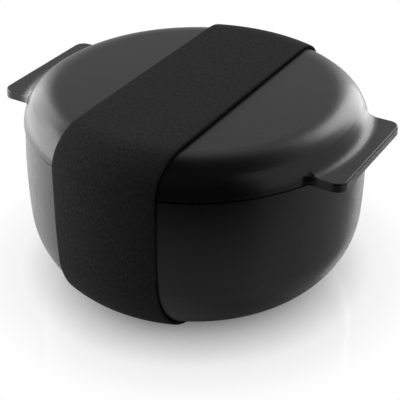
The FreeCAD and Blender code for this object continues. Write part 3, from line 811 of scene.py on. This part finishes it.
@dataclass
class Band:
    """The elastic band: one strip of webbing round the bowl, with its ends lapped and sewn at the back."""

    CLOTH_MAP = "cloth"

    section: Section
    width: float = 50 * MM
    thickness: float = 1.5 * MM
    gap: float = 0.3 * MM
    lap_low: float = 9.64 * MM
    lap_high: float = 24.54 * MM
    ramp: float = 5 * MM
    edge_round: float = 0.35 * MM
    edge_steps: int = 3
    edge_angle: float = math.radians(50)
    columns: int = 40
    row_length: float = 1.2 * MM
    stretch: float = 1.1  # how much longer the band is on the bowl than lying free
    stitches: int = 14
    stitch_length: float = 2.2 * MM
    stitch_radius: float = 0.28 * MM
    stitch_inset: float = 2.2 * MM
    stitch_margin: float = 3 * MM
    stitch_bend: float = 0.75  # radius of a stitch's arc as a share of its length
    stitch_sides: int = 10
    stitch_steps: int = 8
    stitch_crease: float = math.radians(60)
    webbing: WovenElastic = WovenElastic("black_woven_elastic")
    thread: SewingThread = SewingThread("black_sewing_thread")

    def __post_init__(self) -> None:
        """Lays out the strokes of the half loop, from the base's middle up the back to the lid's middle."""
        section = self.section
        quarter = math.pi / 2
        keel_turn, side_turn, crown_turn = section.keel_turn, section.side_turn, section.crown_turn
        side_end = Vector((section.bowl_radius, section.widest_height))
        lid_start = Vector((section.lid_radius, section.shoulder_up))
        crown_end = Vector((section.crown_across, section.lid_top))
        base_end = Vector((section.base_radius, section.foot_height))
        keel = self.arc_stroke(section.base_radius, section.keel_up, section.keel_arc, -quarter)
        haunch = self.arc_stroke(section.haunch_across, section.haunch_up, section.haunch_arc, -keel_turn)
        side = self.arc_stroke(section.side_across, section.widest_height, section.side_arc, -side_turn)
        shoulder = self.arc_stroke(section.shoulder_across, section.shoulder_up, section.shoulder_arc, 0)
        crown = self.arc_stroke(section.crown_across, section.crown_up, section.crown_arc, crown_turn)
        self.strokes = [
            (section.base_radius, self.straight_stroke(Vector((0, section.foot_height)), base_end)),
            (section.keel_arc * (quarter - keel_turn), keel),
            (section.haunch_arc * (keel_turn - side_turn), haunch),
            (section.side_arc * side_turn, side),
            ((lid_start - side_end).length, self.straight_stroke(side_end, lid_start)),
            (section.shoulder_arc * crown_turn, shoulder),
            (section.crown_arc * (quarter - crown_turn), crown),
            (section.crown_across, self.straight_stroke(crown_end, Vector((0, section.lid_top)))),
        ]
        self.half = sum(length for length, _ in self.strokes)
        self.lap_top = self.along_at(self.lap_high)
        self.strip_length = 2 * self.half + (self.lap_top - self.along_at(self.lap_low))

    @staticmethod
    def arc_stroke(across: float, up: float, radius: float, start: float) -> Stroke:
        """Makes the function of a round stroke.

        Args:
            across: Where its centre is.
            up: The height of its centre.
            radius: Its radius.
            start: The angle at which it starts.

        Returns:
            The stroke's function.
        """
        def place(along: float) -> tuple[float, float, float, float]:
            """Gives the place at a distance along the stroke."""
            angle = start + along / radius
            out, rise = math.cos(angle), math.sin(angle)
            return across + radius * out, up + radius * rise, out, rise
        return place

    @staticmethod
    def straight_stroke(start: Vector, end: Vector) -> Stroke:
        """Makes the function of a straight stroke, which has the outside of the bowl on its right.

        Args:
            start: Where it starts, across and up.
            end: Where it ends.

        Returns:
            The stroke's function.
        """
        step = (end - start).normalized()

        def place(along: float) -> tuple[float, float, float, float]:
            """Gives the place at a distance along the stroke."""
            point = start + step * along
            return point.x, point.y, step.y, -step.x
        return place

    def outline(self, along: float) -> tuple[float, float, float, float]:
        """Gives the place on the half loop at a distance from the middle of the base.

        Args:
            along: The distance, from 0 to the half loop's length.

        Returns:
            Across, up, and the two parts of the outward normal.
        """
        for length, place in self.strokes:
            if along <= length:
                return place(along)
            along -= length
        return self.strokes[-1][1](self.strokes[-1][0])

    def along_at(self, up: float) -> float:
        """Finds where the haunch has a height, measured on the lap's outer face.

        Args:
            up: The height.

        Returns:
            The distance along the half loop.
        """
        section = self.section
        face = section.haunch_arc + self.gap + 2 * self.thickness
        angle = math.asin((up - section.haunch_up) / face)
        before = sum(length for length, _ in self.strokes[:2])
        return before + section.haunch_arc * (angle + section.keel_turn)

    def place(self, x: float, along: float, off: float) -> Vector:
        """Gives the point of the band at a distance across it, along it, and off the bowl.

        Args:
            x: Distance from the middle of the band.
            along: Distance from the middle of the base, up the back; negative is up the front.
            off: Distance from the surface that the band lies on.

        Returns:
            The point.
        """
        along = (along + self.half) % (2 * self.half) - self.half
        across, up, out, rise = self.outline(abs(along))
        radius = across + out * off
        flat = self.section.base_radius if abs(along) < self.half / 2 else self.section.crown_across
        # On a level stretch the rows of the strip are bowed at its edge and straight in its middle.
        if radius > flat:
            y = math.sqrt(radius**2 - x**2)
        else:
            y = radius / flat * math.sqrt(flat**2 - x**2)
        return Vector((x, math.copysign(y, along), up + rise * off))

    def build(self) -> None:
        """Builds and dresses the band and its stitches."""
        band = self.make_band()
        dress(band, self.webbing.material())
        dress(self.make_stitches(), self.thread.material())

    def make_band(self) -> Piece:
        """Makes the strip from a grid, wraps it round the bowl and gives it its thickness.

        Returns:
            The piece, riding on its own body.
        """
        rows = math.ceil(self.strip_length / self.row_length)
        deselect_everything()
        bpy.ops.mesh.primitive_grid_add(
            x_subdivisions=self.columns, y_subdivisions=rows, size=1, calc_uvs=True, location=(0, 0, 0)
        )
        band = bpy.context.object
        band.name = "elastic_webbing"
        cloth = band.data.uv_layers.active
        cloth.name = self.CLOTH_MAP
        for loop in cloth.data:
            loop.uv = (loop.uv.x * self.width, loop.uv.y * self.strip_length)
        outer = self.gap + self.thickness
        for vertex in band.data.vertices:
            x = vertex.co.x * self.width
            run = (vertex.co.y + 0.5) * self.strip_length  # the grid reaches from -0.5 to 0.5
            off = outer + self.over_lap(run) * self.thickness
            vertex.co = self.place(x, self.lap_top - run, off)
        make_active(band)
        bpy.ops.object.mode_set(mode="EDIT")
        bpy.ops.mesh.select_all(action="SELECT")
        bpy.ops.mesh.normals_make_consistent(inside=False)
        bpy.ops.object.mode_set(mode="OBJECT")
        thick = band.modifiers.new("thickness", "SOLIDIFY")
        thick.thickness = self.thickness
        thick.offset = -1
        soft = band.modifiers.new("soft_edges", "BEVEL")
        soft.width = self.edge_round
        soft.segments = self.edge_steps
        soft.limit_method = "ANGLE"
        soft.angle_limit = self.edge_angle
        for modifier in ("thickness", "soft_edges"):
            bpy.ops.object.modifier_apply(modifier=modifier)
        smooth(band)
        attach(band, "band")
        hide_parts("elastic_band")
        return band

    def over_lap(self, run: float) -> float:
        """Gives how far the strip has climbed over its own first end.

        Args:
            run: Distance along the strip from its first end.

        Returns:
            0 on the bowl, rising smoothly to 1 where the strip lies on its first end.
        """
        share = (run - (2 * self.half - self.ramp)) / self.ramp
        share = min(max(share, 0.0), 1.0)
        return share * share * (3 - 2 * share)

    def make_stitches(self) -> Piece:
        """Makes the rows of stitches through the lap.

        Returns:
            The piece, riding with the band.
        """
        deselect_everything()
        bend = self.stitch_length * self.stitch_bend
        bpy.ops.mesh.primitive_circle_add(
            vertices=self.stitch_sides,
            radius=self.stitch_radius,
            location=(0, 0, bend),
            rotation=(0, math.pi / 2, 0),
        )
        stitch = bpy.context.object
        bpy.ops.object.mode_set(mode="EDIT")
        bpy.ops.mesh.select_all(action="SELECT")
        half_turn = math.asin(self.stitch_length / 2 / bend)
        bpy.ops.mesh.spin(steps=self.stitch_steps, angle=2 * half_turn, center=(0, 0, 0), axis=(0, 1, 0))
        bpy.ops.mesh.select_all(action="SELECT")
        bpy.ops.mesh.edge_face_add()
        bpy.ops.object.mode_set(mode="OBJECT")
        bpy.ops.object.transform_apply(location=True, rotation=True, scale=True)
        copies = []
        reach = self.width / 2 - self.stitch_margin
        face = self.gap + 2 * self.thickness
        for up in (self.lap_low + self.stitch_inset, self.lap_high - self.stitch_inset):
            along = self.along_at(up)
            for i in range(self.stitches):
                x = -reach + 2 * reach * i / (self.stitches - 1)
                top = self.place(x, along, face)
                out = (self.place(x, along, face + MM) - top).normalized()
                turn = Vector((0, 0, 1)).rotation_difference(out)
                copies.append(copy_of(stitch))
                for vertex in copies[-1].data.vertices:
                    vertex.co = top + turn @ (vertex.co - Vector((0, 0, bend)))
        bpy.data.objects.remove(stitch)
        stitches = join(copies)
        stitches.name = "lap_stitches"
        smooth(stitches, self.stitch_crease)
        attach(stitches, "band")
        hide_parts("band_stitching")
        return stitches


@dataclass(frozen=True)
class Softbox:
    """A large soft lamp that stands upright on the floor and faces the object."""

    name: str
    turn: float  # degrees from straight behind the object, positive towards the right of the picture
    spread: float  # degrees that it takes up, seen from the object
    distance: float
    height: float
    radiance: float  # how bright its face is, where 1 is white

    def build(self, way: Vector) -> None:
        """Adds the lamp.

        Args:
            way: The level direction from the object to the lamp.
        """
        width = 2 * self.distance * math.tan(math.radians(self.spread / 2))
        data = bpy.data.lights.new(self.name, "AREA")
        data.shape = "RECTANGLE"
        data.size = width
        data.size_y = self.height
        data.energy = math.pi * width * self.height * self.radiance
        lamp = bpy.data.objects.new(self.name, data)
        lamp.location = way * self.distance + Vector((0, 0, self.height / 2))
        lamp.rotation_euler = (-way).to_track_quat("-Z", "Y").to_euler()
        lamp.visible_camera = False
        bpy.context.scene.collection.objects.link(lamp)
        LOG.info("%s: %.2f W", self.name, data.energy)


@dataclass(frozen=True)
class PaleAcrylic(Finish):
    """A polished sheet of pale acrylic, which fades to white far from the object.

    The object reflects it as a pale glossy sheet that turns to painted shade before the camera. The camera
    sees it white, with a soft contact shadow and a faint mirror image.
    """

    to_camera: Vector
    pale: str = "#e7e7e7"
    # painted shade: the colour that the pale sheet turns to towards the camera, which only the object's
    # reflections show
    dark: str = "#202020"
    painted_shade_start: float = 0.08  # distances towards the camera between which the pale sheet turns to its painted shade
    painted_shade_end: float = 0.26
    roughness: float = 0.06
    refraction: float = 2.0
    white: float = 0.84  # the share of its white that doesn't come from the lamps
    matt: str = "#3f3f3f"
    mirror: str = "#414141"
    mirror_roughness: float = 0.05
    contact_reach: float = 0.03  # how far the soft shadow round the object's foot spreads
    contact_full: float = 0.75  # how open the floor has to lie to be free of that shadow
    contact_depth: float = 0.8
    contact_samples: int = 16
    fade_start: float = 0.08
    fade_end: float = 0.115

    def shader(self, tree: Tree) -> Socket:
        """Adds the nodes of the finish.

        Args:
            tree: The material's node tree.

        Returns:
            The shader's socket.
        """
        place = add_node(tree, "TexCoord", output="Object")
        seen = add_node(tree, "LightPath", output="Is Camera Ray")
        sheets = {"Fac": seen, 1: self.reflected_sheet(tree, place), 2: self.seen_sheet(tree, place)}
        return add_node(tree, "MixShader", sheets)

    def reflected_sheet(self, tree: Tree, place: Socket) -> Socket:
        """Adds the sheet as the object reflects it, with painted shade towards the camera.

        Args:
            tree: The material's node tree.
            place: The place on the floor.

        Returns:
            The shader's output socket.
        """
        ways = {0: place, 1: self.to_camera}
        towards = add_node(tree, "VectorMath", ways, "Value", operation="DOT_PRODUCT")
        # painted shade: the sheet's colour darkens towards the camera, for the object's reflections only
        front = add_range(tree, towards, self.painted_shade_start, self.painted_shade_end, ramp=Ramp.SOFT)
        colour = add_mix(tree, front, self.pale, self.dark)
        return add_node(tree, "BsdfPrincipled", {
            "Base Color": colour, "Roughness": self.roughness, "IOR": self.refraction,
        })

    def seen_sheet(self, tree: Tree, place: Socket) -> Socket:
        """Adds the sheet as the camera sees it.

        Args:
            tree: The material's node tree.
            place: The place on the floor.

        Returns:
            The shader's output socket.
        """
        reach = {"Distance": self.contact_reach}
        contact = add_node(tree, "AmbientOcclusion", reach, "AO", samples=self.contact_samples)
        open_share = add_range(tree, contact, 0.0, self.contact_full)
        shade = add_node(tree, "Math", {0: open_share, 1: self.contact_depth}, operation="POWER")
        strength = add_node(tree, "Math", {0: shade, 1: self.white}, operation="MULTIPLY")
        white = add_node(tree, "Emission", {"Strength": strength})
        matt = add_node(tree, "BsdfDiffuse", {"Color": linear(self.matt)})
        mirror = add_node(tree, "BsdfGlossy", {
            "Color": linear(self.mirror), "Roughness": self.mirror_roughness,
        })
        lit = add_node(tree, "AddShader", {0: matt, 1: mirror})
        near = add_node(tree, "AddShader", {0: white, 1: lit})
        distance = add_node(tree, "VectorMath", {0: place}, "Value", operation="LENGTH")
        fade = add_range(tree, distance, self.fade_start, self.fade_end, ramp=Ramp.SOFT)
        far = add_node(tree, "Emission", {"Strength": 1.0})
        return add_node(tree, "MixShader", {"Fac": fade, 1: near, 2: far})


@dataclass
class Studio:
    """The pale glossy floor, the softboxes, the pale surroundings and the camera."""

    camera_place: Vector = field(default_factory=lambda: Vector((0.2258, -0.3809, 0.3091)))
    camera_target: Vector = field(default_factory=lambda: Vector((0.01212, -0.01729, 0.04447)))
    lens: float = 99.3  # in millimetres, as the camera takes it, and so is the sensor
    sensor: float = 36.0
    nearest: float = 0.01  # nothing nearer to the camera shows
    softboxes: tuple[Softbox, ...] = (
        Softbox("left_softbox", turn=-77, spread=54, distance=0.49, height=0.43, radiance=4.3),
        Softbox("left_softbox_edge", turn=-41, spread=18, distance=0.49, height=0.43, radiance=2.8),
        Softbox("left_softbox_spill", turn=-29, spread=7, distance=0.49, height=0.43, radiance=0.6),
        Softbox("back_strip", turn=42, spread=23, distance=0.7, height=0.74, radiance=4.0),
        Softbox("back_strip_spill", turn=39, spread=34, distance=0.69, height=0.92, radiance=0.5),
    )
    back_light: float = 0.536  # the surroundings behind the object, where 1 is white
    side_light: float = 0.68
    top_light: float = 0.024
    front_light: float = 0.016
    side_at: float = 0.6  # how far a way points at the camera's side where the walls reach side_light
    front_between: tuple[float, float] = (0.68, 0.82)  # and where they darken to front_light
    top_between: tuple[float, float] = (0.72, 0.96)  # how far a way points up where they darken to top_light
    floor_size: float = 12.0

    def build(self) -> None:
        """Builds the whole studio."""
        self.add_camera()
        self.add_floor()
        self.add_surroundings()
        for softbox in self.softboxes:
            softbox.build(self.turned_from_back(math.radians(softbox.turn)))
        bpy.context.scene.view_settings.view_transform = "Standard"

    def add_camera(self) -> None:
        """Adds the camera at the photograph's viewing angle."""
        data = bpy.data.cameras.new("camera")
        data.lens = self.lens
        data.sensor_width = self.sensor
        data.clip_start = self.nearest
        camera = bpy.data.objects.new("camera", data)
        camera.location = self.camera_place
        camera.rotation_euler = (self.camera_target - self.camera_place).to_track_quat("-Z", "Y").to_euler()
        bpy.context.scene.collection.objects.link(camera)
        bpy.context.scene.camera = camera

    def to_camera(self) -> Vector:
        """Gives the level direction from the object to the camera."""
        return ((self.camera_place - self.camera_target) * LEVEL).normalized()

    def turned_from_back(self, turn: float) -> Vector:
        """Gives the level direction that is turned from straight behind the object.

        Args:
            turn: The angle, positive towards the right of the picture.

        Returns:
            The direction, of length 1.
        """
        back = -self.to_camera()
        right = Vector((back.y, -back.x, 0))
        return back * math.cos(turn) + right * math.sin(turn)

    def add_floor(self) -> None:
        """Adds the pale glossy floor."""
        deselect_everything()
        bpy.ops.mesh.primitive_plane_add(size=self.floor_size, location=(0, 0, 0))
        floor = bpy.context.object
        floor.name = "floor"
        dress(floor, PaleAcrylic("pale_acrylic_floor", self.to_camera()).material())

    def add_surroundings(self) -> None:
        """Adds pale walls behind and beside the object that are dark overhead and on the camera's side.

        The camera itself sees them white.
        """
        world = bpy.data.worlds.new("pale_surroundings")
        bpy.context.scene.world = world
        world.use_nodes = True
        tree = world.node_tree
        tree.nodes.clear()
        direction = add_node(tree, "TexCoord", output="Generated")
        flat = add_node(tree, "VectorMath", {0: direction, 1: LEVEL}, operation="MULTIPLY")
        ways = {0: add_node(tree, "VectorMath", {0: flat}, operation="NORMALIZE"), 1: self.to_camera()}
        towards = add_node(tree, "VectorMath", ways, "Value", operation="DOT_PRODUCT")
        height = add_node(tree, "SeparateXYZ", {"Vector": direction}, "Z")
        wall = add_range(tree, towards, -1.0, self.side_at, self.back_light, self.side_light)
        front = add_range(tree, towards, *self.front_between, ramp=Ramp.SOFT)
        overhead = add_range(tree, height, *self.top_between, ramp=Ramp.SOFT)
        light = add_mix(tree, overhead, add_mix(tree, front, wall, self.front_light), self.top_light)
        seen = add_node(tree, "LightPath", output="Is Camera Ray")
        back = add_node(tree, "Background", {
            "Color": linear("#ffffff"), "Strength": add_mix(tree, seen, light, 1.0),
        })
        add_node(tree, "OutputWorld", {"Surface": back})


def main() -> None:
    """Builds the bowl, the lid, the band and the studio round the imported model."""
    logging.basicConfig(level=logging.INFO, format="%(name)s: %(message)s")
    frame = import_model()
    nodes = frame["nodes"]
    section = Section(
        bowl_radius=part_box("outer_bowl")[1].y,
        rim_height=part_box("rim_ring")[1].z,
        lid_edge=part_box("inner_bowl")[1].z + LID_GAP,
        lid_top=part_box("lid_shell")[1].z,
    )
    Bowl(section, nodes).build()
    Lid(section, nodes).build()
    Band(section).build()
    Studio().build()


if __name__ == "__main__":
    main()
